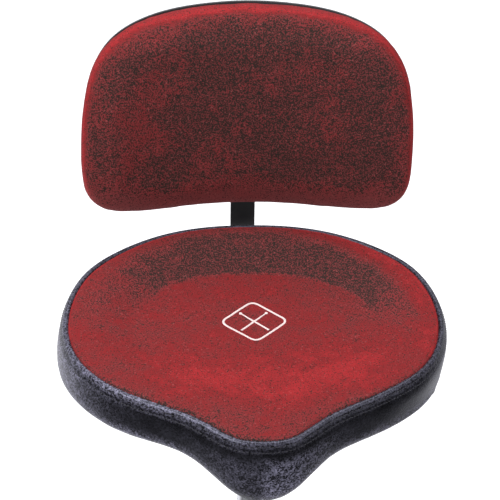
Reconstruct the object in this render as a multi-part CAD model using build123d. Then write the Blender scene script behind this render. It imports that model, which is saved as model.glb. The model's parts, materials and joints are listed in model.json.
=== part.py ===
from build123d import *

# Drum throne: a contoured saddle seat with a curved back, on a gas lift and a
# five-leg base whose legs fold down. Millimetres, +Z up, the nose of the seat
# towards -Y. The origin is on the floor, on the axis that the seat turns about.

import math
import os

os.makedirs("parts", exist_ok=True)
parts = {}

# ---------------------------------------------------------------- driving dimensions

# Seat. Heights in this block are from the plane of its front edge.
SEAT_EDGE_Z = 592.0
PANEL_OUTLINE = [  # right half of the fabric panel's edge, from nose to rear
    (0, -186), (25, -182.5), (46.5, -168.5), (73, -149), (103, -134), (144.5, -112), (181, -76),
    (201, -28), (203.5, 25), (185.5, 77), (149, 118), (100, 149), (50, 163.5), (0, 167),
]
BAND_OUT = 8.5  # how far the side band stands outside the fabric panel
SEAT_TOP_LINE = [(-200, -4), (-150, -1), (-80, 0), (0, 2), (70, 7), (130, 11.5), (182, 12)]
SEAT_BOTTOM_LINE = [(-208, -87), (-170, -79), (-135, -64), (-105, -57.5)]
SEAT_BOTTOM = -57.5
COVER_T, BAND_T, HEM_T = 2.2, 2.0, 1.5
HEM_WIDTH = 27.0
CLOTH_Y0 = -100.0
DISH_RADIUS, DISH_DEPTH, DISH_Y = 145.0, 13.0, 12.0
BOARD_T, BOARD_INSET = 12.0, 14.0
BOARD_Z0 = SEAT_EDGE_Z + SEAT_BOTTOM + HEM_T
BOARD_Z1 = BOARD_Z0 + BOARD_T

# Seat plate, under the board
PLATE_T = 3.0
PLATE_X, PLATE_Y0, PLATE_Y1 = 85.0, -95.0, 88.0
PAN_X, PAN_Y, PAN_DEPTH = 50.0, 55.0, 25.0
PLATE_BOLTS = [(sx * 70.0, y) for sx in (-1, 1) for y in (-75.0, 70.0)]
SOCKET_R, SOCKET_LEN = 20.0, 45.0

# Gas lift
CYL_R, CYL_BORE_R, CYL_TIP_R = 14.0, 12.0, 13.0
CYL_Z0, CONE_Z0, CYL_Z1 = 205.0, 471.0, 515.0
CONE_GAP = 0.02
BUTTON_R, BUTTON_TOP = 3.5, 521.0
ROD_R, ROD_Z0, ROD_Z1 = 5.0, 60.0, 292.0

# Height lever, over the release button
LEVER_PIVOT_X, LEVER_R, LEVER_DROOP = 28.0, 4.0, 12.0
LEVER_Z = BUTTON_TOP + 0.3 + LEVER_R
LEVER_BEND_X, LEVER_END_X = 34.0, 168.0

# Column and hub
COL_R, COL_BORE_R, COL_Z0, COL_Z1 = 25.0, 23.0, 62.0, 285.0
HUB_R, HUB_Z0, HUB_Z1 = 30.0, 138.0, 190.0

# Legs
LEG_COUNT, LEG_R, LEG_WALL = 5, 11.0, 2.0
LEG_SLOPE = 30.0  # degrees below level when open
PIVOT_RADIUS = 50.0
FOOT_R, FOOT_AXIS_Z, FOOT_PAD_R = 17.0, 17.0, 14.0
EAR_GAP, EAR_T = 11.3, 3.0
PIVOT_BOLT_R, RUN = 4.0, 0.05

# Back bar, bent up behind the seat
BAR_W, BAR_T, BAR_BEND_R = 30.0, 6.0, 30.0
BAR_Y0, BAR_BEND_Y = 80.0, 224.3
BAR_Z = BOARD_Z0 - 6.3
LEAN = 9.0  # degrees that the back leans from upright
BAR_UP = 260.0
BRACKET_Y0, BRACKET_Y1 = 93.0, 143.0
BRACKET_SCREWS = [(sx * 31.0, y) for sx in (-1, 1) for y in (102.0, 134.0)]
KNOB_R, KNOB_Y = 21.0, 118.0

# Carrier and back pad, in the frame of the upright bar
CARRIER_Z0, CARRIER_Z1, STOP_Z = 134.0, 214.0, 120.5
LINER_T, CARRIER_WALL = 1.15, 3.5
CARRIER_KNOB_Z = 150.0
TILT_Z, TILT_Y = 174.0, -19.0
PAD_OUTLINE = [  # right half of the back pad, from bottom to top
    (0, 1.8), (60, 0.8), (118, 0), (150, 3.6), (173, 12), (187, 27), (192.7, 50), (193.5, 82),
    (192, 118), (187, 154.5), (176.7, 188.5), (158, 214.5), (128, 233), (90, 244.2), (44.5, 250), (0, 252),
]
PAD_BOTTOM_Z = 42.9
PAD_MID_Y = -57.1
PAD_BEND_R = 550.0
PAD_FRONT_R, PAD_BOARD_R0, PAD_BOARD_R1, PAD_REAR_R = 525.0, 556.0, 566.0, 570.0
PAD_SCREWS = [(sx * 30.0, TILT_Z + dz) for sx in (-1, 1) for dz in (-42.0, 42.0)]

# ---------------------------------------------------------------- helpers


def cyl(r, z0, z1, x=0.0, y=0.0):
    return Pos(x, y, (z0 + z1) / 2) * Cylinder(r, z1 - z0)


def ring(r_out, r_in, z0, z1, x=0.0, y=0.0):
    return cyl(r_out, z0, z1, x, y) - cyl(r_in, z0 - 1, z1 + 1, x, y)


def rod_x(r, x0, x1, y=0.0, z=0.0):
    return Pos((x0 + x1) / 2, y, z) * Rot(0, 90, 0) * Cylinder(r, x1 - x0)


def rod_y(r, y0, y1, x=0.0, z=0.0):
    return Pos(x, (y0 + y1) / 2, z) * Rot(90, 0, 0) * Cylinder(r, y1 - y0)


def block(x0, x1, y0, y1, z0, z1):
    return Pos((x0 + x1) / 2, (y0 + y1) / 2, (z0 + z1) / 2) * Box(x1 - x0, y1 - y0, z1 - z0)


def hexagon(across, z0, z1, x=0.0, y=0.0):
    sketch = RegularPolygon(radius=across / 2, side_count=6, major_radius=False)
    return Pos(x, y, z0) * extrude(sketch, z1 - z0)


def mirrored(half):
    """Closed list of points from the right half, which starts and ends on the mirror line."""
    return half + [(-x, y) for x, y in reversed(half[1:-1])]


def outline_face(half, out=0.0):
    """Face inside a smooth closed curve through the mirrored points, grown by out."""
    curve = Spline(*[Vector(x, y) for x, y in mirrored(half)], periodic=True)
    if out:
        moved = []
        for i, (x, y) in enumerate(mirrored(half)):
            tangent = curve.tangent_at(curve.param_at_point(Vector(x, y)) if i else 0.0)
            moved.append(Vector(x, y) + Vector(tangent.Y, -tangent.X) * out)
        curve = Spline(*moved, periodic=True)
    return make_face(curve)


def star_knob(height, screw_r, screw_depth):
    """Five-lobed knob along +Z with its foot at z 0 and a blind hole for its screw."""
    lobe_r = 7.0
    body = cyl(12.0, 0, height)
    for i in range(5):
        turn = math.radians(90 + 72 * i)
        reach = KNOB_R - lobe_r
        body += cyl(lobe_r, 0, height * 0.8, reach * math.cos(turn), reach * math.sin(turn))
    body += cyl(10.0, -3.0, 0.5)
    return body - cyl(screw_r, -4, screw_depth)


def add(name, shape):
    parts[name] = shape


def group(name, solids):
    parts[name] = Compound(children=list(solids))


# ---------------------------------------------------------------- seat cushion


def seat_slab(top_drop, bottom_raise):
    """Everything between the seat's top line and its underside line, as seen from the side."""
    top = Spline(*[Vector(0, y, z - top_drop) for y, z in SEAT_TOP_LINE])
    rear_y = SEAT_TOP_LINE[-1][0]
    nose_y = SEAT_BOTTOM_LINE[0][0]
    bottom = Spline(
        *[Vector(0, y, z + bottom_raise) for y, z in SEAT_BOTTOM_LINE],
        tangents=[Vector(0, 1, 0.05), Vector(0, 1, 0)],
    )
    rear_low = Vector(0, rear_y, SEAT_BOTTOM + bottom_raise)
    nose_high = Vector(0, nose_y, SEAT_TOP_LINE[0][1] - top_drop)
    edges = [
        top,
        Line(top @ 1, rear_low),
        Line(rear_low, bottom @ 1),
        bottom,
        Line(bottom @ 0, nose_high),
        Line(nose_high, top @ 0),
    ]
    return extrude(Face(Wire(edges)), amount=260, dir=(1, 0, 0), both=True)


def seat_prism(out):
    return Pos(0, 0, -120) * extrude(outline_face(PANEL_OUTLINE, out), 240)


def seat_dish(drop):
    """Ball whose cap hollows the top of the seat."""
    ball_r = (DISH_RADIUS**2 + DISH_DEPTH**2) / (2 * DISH_DEPTH)
    rim_z = 3.0
    return Pos(0, DISH_Y, rim_z - DISH_DEPTH - drop + ball_r) * Sphere(ball_r)


def make_seat_cushion():
    lift = Pos(0, 0, SEAT_EDGE_Z)
    dish = seat_dish(0)
    whole = seat_slab(0, 0) & seat_prism(BAND_OUT)
    inner = seat_slab(-30, HEM_T) & seat_prism(BAND_OUT - BAND_T)
    hem_opening = seat_prism(BAND_OUT - HEM_WIDTH)
    band = whole - inner - hem_opening
    under_cover = seat_slab(COVER_T, HEM_T) & seat_prism(BAND_OUT - BAND_T)
    foam = under_cover - seat_dish(COVER_T)
    skin = (seat_slab(0, 0) & seat_prism(BAND_OUT - BAND_T)) - dish - foam
    skin = skin & seat_slab(0, 40)
    welt = skin - seat_prism(0)
    panel = skin & seat_prism(0)
    board = board_solid()
    add("seat_side_band", lift * band)
    add("seat_top_welt", lift * welt)
    add("seat_top_panel", lift * panel)
    foam = lift * foam - board
    for x, y in PLATE_BOLTS:
        foam -= cyl(9.0, BOARD_Z1 - 1, BOARD_Z1 + 1.6, x, y)
    add("seat_foam", foam)
    for x, y in PLATE_BOLTS:
        board -= cyl(4.5, BOARD_Z0 - 1, BOARD_Z1 + 1, x, y)
    for x, y in BRACKET_SCREWS:
        board -= cyl(1.9, BOARD_Z0 - 1, BOARD_Z0 + 9, x, y)
    add("seat_board", board)
    cloth = extrude(outline_face(PANEL_OUTLINE, BAND_OUT - HEM_WIDTH - 0.4), 0.8)
    cloth = Pos(0, 0, BOARD_Z0 - 0.8) * cloth
    cloth -= block(-PLATE_X - 1, PLATE_X + 1, PLATE_Y0 - 1, PLATE_Y1 + 1, BOARD_Z0 - 5, BOARD_Z0 + 1)
    cloth -= block(-43, 43, PLATE_Y1, 250, BOARD_Z0 - 5, BOARD_Z0 + 1)
    cloth -= block(-250, 250, -250, CLOTH_Y0, BOARD_Z0 - 5, BOARD_Z0 + 1)
    add("underside_cloth", cloth.solids().sort_by(SortBy.VOLUME)[-1])


def board_solid():
    return Pos(0, 0, BOARD_Z0) * extrude(outline_face(PANEL_OUTLINE, BAND_OUT - BOARD_INSET), BOARD_T)


# ---------------------------------------------------------------- seat plate and lever


def make_seat_plate():
    floor_z = BOARD_Z0 - PAN_DEPTH
    plate = block(-PLATE_X, PLATE_X, PLATE_Y0, PLATE_Y1, BOARD_Z0 - PLATE_T, BOARD_Z0)
    plate = fillet(plate.edges().filter_by(Axis.Z), 14)
    pan = block(-PAN_X, PAN_X, -PAN_Y, PAN_Y, floor_z, BOARD_Z0)
    pan = fillet(pan.edges().filter_by(Axis.Z), 12)
    plate += pan
    hollow = block(
        -PAN_X + PLATE_T, PAN_X - PLATE_T, -PAN_Y + PLATE_T, PAN_Y - PLATE_T,
        floor_z + PLATE_T, BOARD_Z0 + 1,
    )
    plate -= fillet(hollow.edges().filter_by(Axis.Z), 9)
    socket_z0 = floor_z + PLATE_T - SOCKET_LEN
    plate += cyl(SOCKET_R, socket_z0, floor_z + PLATE_T)
    # Stiffening ribs from the pan's floor down to the socket.
    for turn in (0, 90, 180, 270):
        web = Polygon((SOCKET_R - 1, 0), (PAN_X - 6, 0), (SOCKET_R - 1, -22), align=None)
        web = extrude(web, amount=1.5, both=True)
        plate += Rot(0, 0, turn) * Pos(0, 0, floor_z + 0.5) * Rot(90, 0, 0) * web
    taper = (CYL_R - CYL_TIP_R) / (CYL_Z1 - CONE_Z0)
    top_r = CYL_R + CONE_GAP - taper * (floor_z + PLATE_T - CONE_Z0)
    low_r = CYL_R + CONE_GAP - taper * (socket_z0 - CONE_Z0)
    cone = Pos(0, 0, (socket_z0 + floor_z + PLATE_T) / 2) * Cone(low_r, top_r, SOCKET_LEN)
    plate -= cone
    for x, y in PLATE_BOLTS:
        plate -= cyl(3.3, BOARD_Z0 - 5, BOARD_Z0 + 1, x, y)
    plate -= block(PAN_X - 6, PAN_X + 4, -7, 7, floor_z + 6, BOARD_Z0 - PLATE_T)
    for side in (-1, 1):
        ear = block(LEVER_PIVOT_X - 7, LEVER_PIVOT_X + 7, side * 7.5 - 1.5, side * 7.5 + 1.5,
                    floor_z + PLATE_T - 0.5, LEVER_Z + 6)
        plate += ear
    plate -= rod_y(2.5, -12, 12, LEVER_PIVOT_X, LEVER_Z)
    add("seat_plate", plate)
    add("lever_pivot_pin", rod_y(2.5, -11, 11, LEVER_PIVOT_X, LEVER_Z))

    bolts, nuts = [], []
    for x, y in PLATE_BOLTS:
        head_z = BOARD_Z0 - PLATE_T
        bolts.append(cyl(3.0, head_z - 1, BOARD_Z1 - 1, x, y) + hexagon(10, head_z - 4, head_z, x, y)
                     + cyl(7.5, head_z - 1.2, head_z, x, y))
        nuts.append(ring(4.5, 3.0, BOARD_Z0 + 2, BOARD_Z1, x, y)
                    + ring(9.0, 3.0, BOARD_Z1, BOARD_Z1 + 1.5, x, y))
    group("seat_plate_bolts", bolts)
    group("seat_board_tee_nuts", nuts)


def make_lever():
    arm = rod_x(LEVER_R, -5, LEVER_BEND_X, 0, LEVER_Z)
    slope = math.radians(LEVER_DROOP)
    run = (LEVER_END_X - LEVER_BEND_X) / math.cos(slope)
    droop = Pos(LEVER_BEND_X, 0, LEVER_Z) * Rot(0, LEVER_DROOP, 0)
    arm += droop * rod_x(LEVER_R, 0, run)
    arm += Pos(LEVER_BEND_X, 0, LEVER_Z) * Sphere(LEVER_R)
    arm += block(LEVER_PIVOT_X - 6, LEVER_PIVOT_X + 6, -5.5, 5.5, LEVER_Z - 4, LEVER_Z + 4)
    arm -= rod_y(2.5 + RUN, -8, 8, LEVER_PIVOT_X, LEVER_Z)
    add("height_lever", arm)
    paddle = SlotOverall(64, 24)
    paddle = extrude(paddle, amount=5.5, both=True)
    paddle = fillet(paddle.edges(), 3.5)
    grip = Pos(run + 12, 0, 0) * paddle + rod_x(7.5, run - 34, run + 4)
    grip -= rod_x(LEVER_R, run - 60, run)
    add("lever_grip", droop * grip)


# ---------------------------------------------------------------- gas lift


def make_gas_lift():
    tube = cyl(CYL_R, CYL_Z0, CONE_Z0)
    cone_h = CYL_Z1 - CONE_Z0
    tube += Pos(0, 0, CONE_Z0 + cone_h / 2) * Cone(CYL_R, CYL_TIP_R, cone_h)
    tube -= cyl(CYL_BORE_R, CYL_Z0 - 1, CYL_Z1 - 14)
    tube -= cyl(BUTTON_R + 0.1, CYL_Z1 - 20, CYL_Z1 + 1)
    add("pressure_cylinder", tube)
    add("cylinder_end_guide", ring(CYL_BORE_R, ROD_R + 0.08, CYL_Z0, CYL_Z0 + 12))
    add("release_button", cyl(BUTTON_R, CYL_Z1 - 22, BUTTON_TOP))

    rod = cyl(ROD_R, ROD_Z0, ROD_Z1) + cyl(9.0, 86, 90) - ring(6.0, 4.0, 63.4, 65.1)
    add("piston_rod", rod)
    add("piston_head", ring(CYL_BORE_R - 0.1, ROD_R, ROD_Z1 - 14, ROD_Z1 - 2))
    clip = ring(9.0, 4.0, 63.5, 65.0) - block(-2.6, 2.6, -10, 0, 63, 66)
    add("retaining_clip", clip)
    add("cushion_ring", ring(12.0, ROD_R, 81.0, 86.0))
    add("bearing_upper_race", ring(13.0, ROD_R, 78.5, 81.0))
    ball_r, pitch, count = 1.98, 9.5, 12
    spots = [(pitch * math.cos(a), pitch * math.sin(a)) for a in
             (2 * math.pi * i / count for i in range(count))]
    group("bearing_balls", [Pos(x, y, 76.5) * Sphere(ball_r) for x, y in spots])
    cage = ring(12.3, 6.7, 75.7, 77.3)
    for x, y in spots:
        cage -= cyl(ball_r + 0.12, 75, 78, x, y)
    add("bearing_cage", cage)


# ---------------------------------------------------------------- base


def leg_frame(i):
    """At the leg's pivot, with +X out along the open leg and +Z square to it, upwards."""
    turn = -90.0 + 360.0 * i / LEG_COUNT
    return Rot(0, 0, turn) * Pos(PIVOT_RADIUS, 0, PIVOT_Z) * Rot(0, LEG_SLOPE, 0)


def make_base():
    add("column_tube", ring(COL_R, COL_BORE_R, COL_Z0, COL_Z1))
    add("column_bottom_plate", ring(COL_BORE_R, 6.5, 66, 72))
    add("bearing_lower_race", ring(13.0, 6.0, 72.0, 74.5))
    bush = ring(COL_BORE_R, CYL_R + 0.1, COL_Z1 - 62, COL_Z1)
    flange = ring(COL_R, CYL_R + 0.1, COL_Z1, COL_Z1 + 4)
    flange = chamfer(flange.edges().filter_by(GeomType.CIRCLE).sort_by(Axis.Z)[-1], 1.2)
    add("guide_bush", bush + flange)

    hub = ring(HUB_R, COL_R, HUB_Z0, HUB_Z1)
    bolts, nuts = [], []
    outer = EAR_GAP + EAR_T
    for i in range(LEG_COUNT):
        at = leg_frame(i)
        channel = block(-27, 46, -outer, outer, -13, EAR_GAP + EAR_T)
        channel -= block(-28, 47, -EAR_GAP, EAR_GAP, -14, EAR_GAP)
        channel -= block(-28, 12, -EAR_GAP, EAR_GAP, EAR_GAP - 1, EAR_GAP + EAR_T + 1)
        channel -= block(30, 60, -outer - 1, outer + 1, -20, -4)
        channel -= rod_y(PIVOT_BOLT_R + RUN, -20, 20)
        hub += at * channel
        shank = rod_y(PIVOT_BOLT_R, -outer, outer + 8.5)
        head = Rot(90, 0, 0) * hexagon(13, outer, outer + 5.3)
        bolts.append(at * (shank + head))
        nut = Rot(-90, 0, 0) * hexagon(13, outer, outer + 6.5) - rod_y(PIVOT_BOLT_R, 0, 40)
        nuts.append(at * nut)
    hub -= cyl(COL_R, HUB_Z0 - 20, HUB_Z1 + 20)
    add("leg_hub", hub)
    group("leg_pivot_bolts", bolts)
    group("leg_pivot_nuts", nuts)


def make_legs():
    reach = FEET_RADIUS - PIVOT_RADIUS
    length = reach / math.cos(math.radians(LEG_SLOPE))
    tube_end = length - 4.0
    for i in range(LEG_COUNT):
        at = leg_frame(i)
        tube = rod_x(LEG_R, -14, tube_end) - rod_x(LEG_R - LEG_WALL, -15, tube_end + 1)
        tube -= rod_y(PIVOT_BOLT_R + RUN, -20, 20)
        add(f"leg_{i + 1}_tube", at * tube)
        upright = at * Pos(length, 0, 0) * Rot(0, -LEG_SLOPE, 0)
        foot = at * rod_x(14.0, length - 34, length)
        foot += upright * Sphere(FOOT_R)
        foot += upright * cyl(FOOT_PAD_R, -FOOT_AXIS_Z, 0)
        foot -= at * rod_x(LEG_R, length - 60, tube_end)
        foot &= upright * block(-60, 40, -40, 40, -FOOT_AXIS_Z, 40)
        add(f"leg_{i + 1}_foot", foot)


# ---------------------------------------------------------------- back bar


BEND_TURN = 90.0 - LEAN
BEND_END_Y = BAR_BEND_Y + BAR_BEND_R * math.sin(math.radians(BEND_TURN))
BEND_END_Z = BAR_Z + BAR_BEND_R * (1 - math.cos(math.radians(BEND_TURN)))
UPRIGHT = Pos(0, BEND_END_Y, BEND_END_Z) * Rot(-LEAN, 0, 0)


def make_back_bar():
    half_w, half_t = BAR_W / 2, BAR_T / 2
    flat = block(-half_w, half_w, BAR_Y0, BAR_BEND_Y, BAR_Z - half_t, BAR_Z + half_t)
    profile = Pos(0, BAR_BEND_Y, BAR_Z) * Rot(90, 0, 0) * Rectangle(BAR_W, BAR_T)
    axis = Axis((0, BAR_BEND_Y, BAR_Z + BAR_BEND_R), (1, 0, 0))
    bend = revolve(profile, axis, BEND_TURN)
    upright = block(-half_w, half_w, -half_t, half_t, 0, BAR_UP)
    bar = flat + bend + UPRIGHT * upright
    bar -= UPRIGHT * rod_y(3.0, -10, 10, 0, STOP_Z)
    add("back_bar", bar)
    cap = block(-half_w - 1.6, half_w + 1.6, -half_t - 1.6, half_t + 1.6, BAR_UP - 12, BAR_UP + 3)
    cap = fillet(cap.edges().group_by(Axis.Z)[-1], 1.4)
    cap -= block(-half_w, half_w, -half_t, half_t, BAR_UP - 20, BAR_UP)
    add("back_bar_cap", UPRIGHT * cap)
    pin = rod_y(3.0, -6.5, 6.5, 0, STOP_Z)
    add("height_stop_pin", UPRIGHT * pin)


def make_bar_bracket():
    wall = 3.0
    in_w, in_t = BAR_W / 2 + 0.3, BAR_T / 2 + 0.3
    channel = block(-in_w - wall, in_w + wall, BRACKET_Y0, BRACKET_Y1, BAR_Z - in_t - wall, BOARD_Z0)
    flange = block(-41, 41, BRACKET_Y0, BRACKET_Y1, BOARD_Z0 - wall, BOARD_Z0)
    flange = fillet(flange.edges().filter_by(Axis.Z), 8)
    bracket = channel + flange
    boss_z0 = BAR_Z - in_t - wall - 6.5
    bracket += cyl(9.5, boss_z0, BAR_Z - in_t - 0.5, 0, KNOB_Y)
    bracket -= block(-in_w, in_w, BRACKET_Y0 - 1, BRACKET_Y1 + 1, BAR_Z - in_t, BAR_Z + in_t)
    bracket -= cyl(4 + RUN, boss_z0 - 1, BAR_Z, 0, KNOB_Y)
    screws = []
    for x, y in BRACKET_SCREWS:
        head_z = BOARD_Z0 - wall
        bracket -= cyl(2.6, head_z - 1, BOARD_Z0 + 1, x, y)
        screw = cyl(1.9, head_z - 0.5, BOARD_Z0 + 9, x, y) + cyl(4.8, head_z - 2.6, head_z, x, y)
        screws.append(screw - block(x - 2.6, x + 2.6, y - 0.6, y + 0.6, head_z - 3, head_z - 1.3)
                      - block(x - 0.6, x + 0.6, y - 2.6, y + 2.6, head_z - 3, head_z - 1.3))
    add("back_bar_bracket", bracket)
    group("bracket_screws", screws)
    tip_z = BAR_Z - BAR_T / 2 - 0.2
    knob_top = boss_z0 - 3.0
    down = Pos(0, KNOB_Y, knob_top) * Rot(180, 0, 0)
    add("depth_clamp_screw", cyl(4.0, knob_top - 14, tip_z, 0, KNOB_Y))
    add("depth_clamp_knob", down * star_knob(20, 4.0, 14.0))


def make_carrier():
    half_w, half_t = BAR_W / 2 + 0.15, BAR_T / 2 + 0.15
    z0, z1 = CARRIER_Z0, CARRIER_Z1
    liner_w, liner_t = half_w + LINER_T, half_t + LINER_T
    out_w, out_t = liner_w + CARRIER_WALL, liner_t + CARRIER_WALL
    body = block(-out_w, out_w, -out_t, out_t, z0, z1)
    body = fillet(body.edges().filter_by(Axis.Z), 3)
    body += rod_y(9.5, out_t - 1, out_t + 5, 0, CARRIER_KNOB_Z)
    for side in (-1, 1):
        x0, x1 = sorted((side * 8.0, side * 12.0))
        ear = block(x0, x1, TILT_Y, -out_t + 1, TILT_Z - 12, TILT_Z + 12)
        body += ear + rod_x(9.0, x0, x1, TILT_Y, TILT_Z)
    body -= block(-liner_w, liner_w, -liner_t, liner_t, z0 - 1, z1 + 1)
    body -= rod_y(4 + RUN, 0, 40, 0, CARRIER_KNOB_Z)
    body -= rod_x(4 + RUN, -20, 20, TILT_Y, TILT_Z)
    add("back_carrier", UPRIGHT * body)
    liner = block(-liner_w, liner_w, -liner_t, liner_t, z0, z1)
    liner -= block(-half_w, half_w, -half_t, half_t, z0 - 1, z1 + 1)
    liner -= rod_y(4 + RUN, 0, 40, 0, CARRIER_KNOB_Z)
    add("carrier_liner", UPRIGHT * liner)
    knob_foot = out_t + 5 + 3.5
    add("back_height_screw", UPRIGHT * rod_y(4.0, BAR_T / 2 + 0.2, knob_foot + 12, 0, CARRIER_KNOB_Z))
    knob = Pos(0, knob_foot, CARRIER_KNOB_Z) * Rot(-90, 0, 0) * star_knob(20, 4.0, 12.0)
    add("back_height_knob", UPRIGHT * knob)
    shank = rod_x(4.0, -16.3, 24.0, TILT_Y, TILT_Z)
    head = Pos(0, TILT_Y, TILT_Z) * Rot(0, -90, 0) * hexagon(13, 16.3, 21.6)
    add("tilt_pivot_bolt", UPRIGHT * (shank + head))
    nut = Pos(0, TILT_Y, TILT_Z) * Rot(0, 90, 0) * hexagon(13, 16.3, 22.8)
    add("tilt_pivot_nut", UPRIGHT * (nut - rod_x(4.0, 10, 30, TILT_Y, TILT_Z)))


# ---------------------------------------------------------------- back pad


def pad_prism(out):
    """Prism of the pad's outline, through the pad from front to rear."""
    face = outline_face(PAD_OUTLINE, out)
    return Pos(0, 0, PAD_BOTTOM_Z) * Rot(90, 0, 0) * extrude(face, amount=150, both=True)


def bent_layer(r_in, r_out):
    """Curved layer of the pad between two radii about its upright bending axis."""
    axis_y = PAD_MID_Y - PAD_BEND_R
    tall = ring(r_out, r_in, PAD_BOTTOM_Z - 60, PAD_BOTTOM_Z + 340, 0, axis_y)
    return tall & block(-260, 260, PAD_MID_Y - 120, PAD_MID_Y + 80, PAD_BOTTOM_Z - 50, PAD_BOTTOM_Z + 330)


def make_back_pad():
    rear_y = PAD_MID_Y - PAD_BEND_R + PAD_REAR_R
    shell = bent_layer(PAD_FRONT_R, PAD_REAR_R) & pad_prism(0)
    front_skin = shell - (bent_layer(PAD_FRONT_R + COVER_T, PAD_REAR_R + 5) & pad_prism(-COVER_T))
    add("back_front_cover", UPRIGHT * front_skin)
    foam = bent_layer(PAD_FRONT_R + COVER_T, PAD_BOARD_R1) & pad_prism(-COVER_T)
    board = bent_layer(PAD_BOARD_R0, PAD_BOARD_R1) & pad_prism(-16)
    add("back_foam", UPRIGHT * (foam - board))
    rear = bent_layer(PAD_BOARD_R1, PAD_REAR_R) & pad_prism(-COVER_T)
    plate = block(-45, 45, rear_y, rear_y + 3, TILT_Z - 56, TILT_Z + 56)
    plate = fillet(plate.edges().filter_by(Axis.Y), 10)
    for side in (-1, 1):
        x0, x1 = sorted((side * 12.3, side * 16.3))
        plate += block(x0, x1, rear_y + 1, TILT_Y, TILT_Z - 16, TILT_Z + 16)
        plate += rod_x(7.5, x0, x1, TILT_Y, TILT_Z)
    plate -= rod_x(4 + RUN, -20, 20, TILT_Y, TILT_Z)
    screws = []
    for x, z in PAD_SCREWS:
        plate -= rod_y(2.8, rear_y - 1, rear_y + 4, x, z)
        rear -= rod_y(2.8, rear_y - 20, rear_y + 4, x, z)
        board -= rod_y(2.0, rear_y - 20, rear_y + 4, x, z)
        screw = rod_y(2.0, rear_y - 11, rear_y + 3.5, x, z) + rod_y(5.0, rear_y + 3, rear_y + 5.6, x, z)
        cross = block(x - 2.8, x + 2.8, rear_y + 4.3, rear_y + 6, z - 0.6, z + 0.6)
        cross += block(x - 0.6, x + 0.6, rear_y + 4.3, rear_y + 6, z - 2.8, z + 2.8)
        screws.append(UPRIGHT * (screw - cross))
    add("back_rear_cover", UPRIGHT * rear)
    add("back_board", UPRIGHT * board)
    add("back_bracket", UPRIGHT * plate)
    group("back_bracket_screws", screws)


# ---------------------------------------------------------------- build

make_seat_cushion()
make_seat_plate()
make_lever()
make_gas_lift()
make_back_bar()
make_bar_bracket()
make_carrier()
make_back_pad()

# The feet reach as far forward as the back's knob reaches to the rear, which keeps
# the origin in the middle of the footprint.
REAR_REACH = parts["back_height_knob"].bounding_box().max.Y
FEET_RADIUS = REAR_REACH - FOOT_R
PIVOT_Z = FOOT_AXIS_Z + (FEET_RADIUS - PIVOT_RADIUS) * math.tan(math.radians(LEG_SLOPE))
make_base()
make_legs()

for name, shape in parts.items():
    export_step(shape, f"parts/{name}.step")
print("feet circle radius", round(FEET_RADIUS, 2), "leg pivot height", round(PIVOT_Z, 2))
print("upright frame origin", round(BEND_END_Y, 3), round(BEND_END_Z, 3), "nodes", len(parts))
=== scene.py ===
import json
import math

import bmesh
import bpy
import numpy as np
from mathutils import Matrix, Vector, noise
from mathutils.bvhtree import BVHTree

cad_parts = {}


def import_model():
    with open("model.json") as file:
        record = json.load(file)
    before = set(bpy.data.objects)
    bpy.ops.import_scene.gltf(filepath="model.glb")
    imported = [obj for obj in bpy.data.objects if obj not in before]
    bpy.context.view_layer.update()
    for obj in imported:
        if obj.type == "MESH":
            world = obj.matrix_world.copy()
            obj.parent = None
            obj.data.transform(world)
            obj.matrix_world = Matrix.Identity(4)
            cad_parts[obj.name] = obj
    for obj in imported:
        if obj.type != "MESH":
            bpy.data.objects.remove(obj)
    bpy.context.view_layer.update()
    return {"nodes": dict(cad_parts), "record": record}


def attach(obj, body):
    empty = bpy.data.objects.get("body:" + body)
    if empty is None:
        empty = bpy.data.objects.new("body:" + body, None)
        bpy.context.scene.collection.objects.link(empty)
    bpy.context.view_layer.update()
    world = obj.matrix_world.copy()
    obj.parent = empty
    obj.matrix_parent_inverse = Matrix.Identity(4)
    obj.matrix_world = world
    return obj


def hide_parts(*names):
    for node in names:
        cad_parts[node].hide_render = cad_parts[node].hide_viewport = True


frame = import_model()
MM = 0.001
CLOTH_FRAMES = 20
NOSE = 270.0  # bearing of the nose, in degrees round the seat's middle

# ---------------------------------------------------------------- sizes, in mm, in the part's frame

SEAT_Z = 592.0  # plane of the seat's front edge
PANEL = [  # right half of the velour panel's seam, from nose to rear
    (0, -186), (25, -182.5), (46.5, -168.5), (73, -149), (103, -134), (144.5, -112), (181, -76),
    (201, -28), (203.5, 25), (185.5, 77), (149, 118), (100, 149), (50, 163.5), (0, 167),
]
SEAT_MID = np.array([0.0, -4.0])
WALL = 57.3  # height of the side wall below the seam's plane
PAD = [  # right half of the back pad's outline, from bottom to top
    (0, 1.8), (60, 0.8), (118, 0), (150, 3.6), (173, 12), (187, 27), (192.7, 50), (193.5, 82),
    (192, 118), (187, 154.5), (176.7, 188.5), (158, 214.5), (128, 233), (90, 244.2), (44.5, 250),
    (0, 252),
]
PAD_MID = np.array([0.0, 125.0])
PAD_Z, PAD_AXIS_Y, PAD_FRONT_R, PAD_DEPTH = 42.9, -607.1, 525.0, 40.6
PAD_CROWN, PAD_ROUND = 62.0, 24.0  # how far in, and how deep, the pad's edge curves away
BACK_AT, BACK_LEAN = (0.0, 253.931, 555.007), 9.0
# In metres, the fixed viewpoint of the velour's painted sheen and shade. It is the photograph's
# viewpoint, but it stays put.
PAINTED_SHEEN_VIEWPOINT = (-0.111, -1.396, 1.726)


# ---------------------------------------------------------------- curves and meshes


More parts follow.
